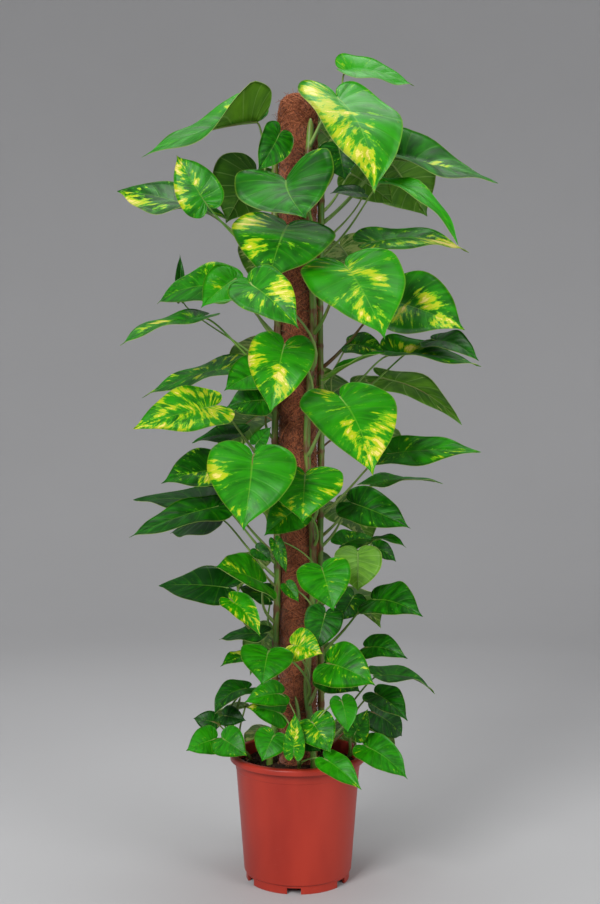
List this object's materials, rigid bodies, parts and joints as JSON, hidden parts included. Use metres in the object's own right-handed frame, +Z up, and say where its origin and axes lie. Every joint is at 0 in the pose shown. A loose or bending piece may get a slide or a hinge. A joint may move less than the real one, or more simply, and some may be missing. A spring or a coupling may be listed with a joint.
{
  "type": "potted pothos plant",
  "caption": "Golden pothos with marbled heart-shaped leaves climbing a coir pole, standing in a red-brown plastic nursery pot of soil.",
  "frame": {"origin": "centre of the pot's foot on the surface it stands on, within a few millimetres of the middle of the whole object's box", "axes": "+Z up along the pole, -Y towards the side shown in the picture, +X to the right in that view"},
  "size_m": [0.6828, 0.496, 1.4741],
  "materials": {
    "pot_plastic": "satin",
    "soil": "matte",
    "core_plastic": "matte",
    "coir": "matte",
    "foliage": "satin"
  },
  "bodies": {
    "root": {"pot": "pot_plastic", "soil": "soil", "pole_core": "core_plastic", "coir_sleeve": "coir", "vine_front": "foliage", "vine_left": "foliage", "vine_right": "foliage", "vine_back": "foliage", "shoot_front": "foliage", "shoot_right": "foliage", "shoot_left": "foliage", "shoot_back": "foliage"}
  },
  "joints": []
}
